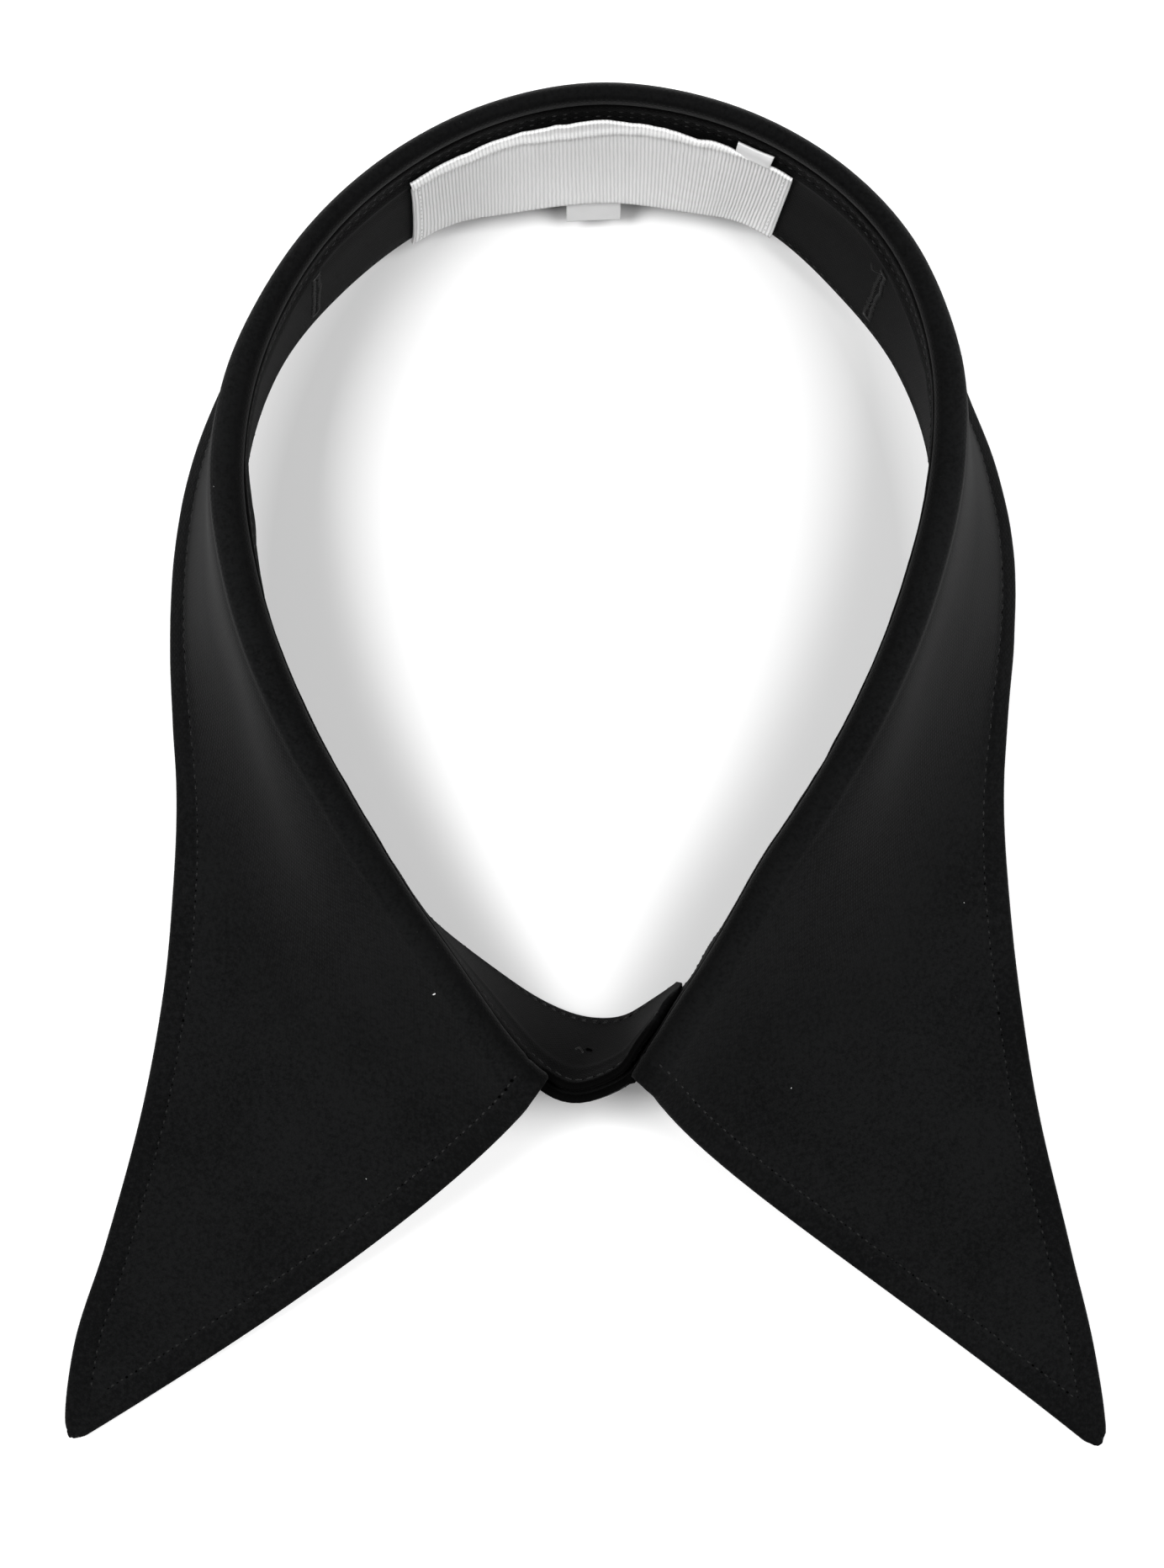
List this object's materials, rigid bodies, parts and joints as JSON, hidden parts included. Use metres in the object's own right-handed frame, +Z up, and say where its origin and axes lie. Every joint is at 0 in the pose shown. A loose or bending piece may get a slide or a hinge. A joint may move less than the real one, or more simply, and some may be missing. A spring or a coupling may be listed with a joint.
{
  "type": "detachable shirt collar",
  "caption": "Black cloth shirt collar with long spread points, folded over its stand, buttoned into a ring and laid flat.",
  "frame": {"origin": "middle of the outline on the surface that the collar lies on", "axes": "+Y towards the wearer's back, +X towards the wearer's left, +Z up from the surface"},
  "size_m": [0.1583, 0.2045, 0.0426],
  "materials": {
    "collar_cloth": "black fine plain-weave cotton, matt with a faint sheen",
    "label_ribbon": "white ribbed grosgrain ribbon, blank",
    "tag_satin": "white satin tape, blank",
    "button_black": "black polished resin"
  },
  "bodies": {
    "root": {"leaf": "collar_cloth", "stand": "collar_cloth", "label": "label_ribbon", "hanging_tag": "tag_satin", "tag_end": "tag_satin", "front_button": "button_black"}
  },
  "joints": []
}
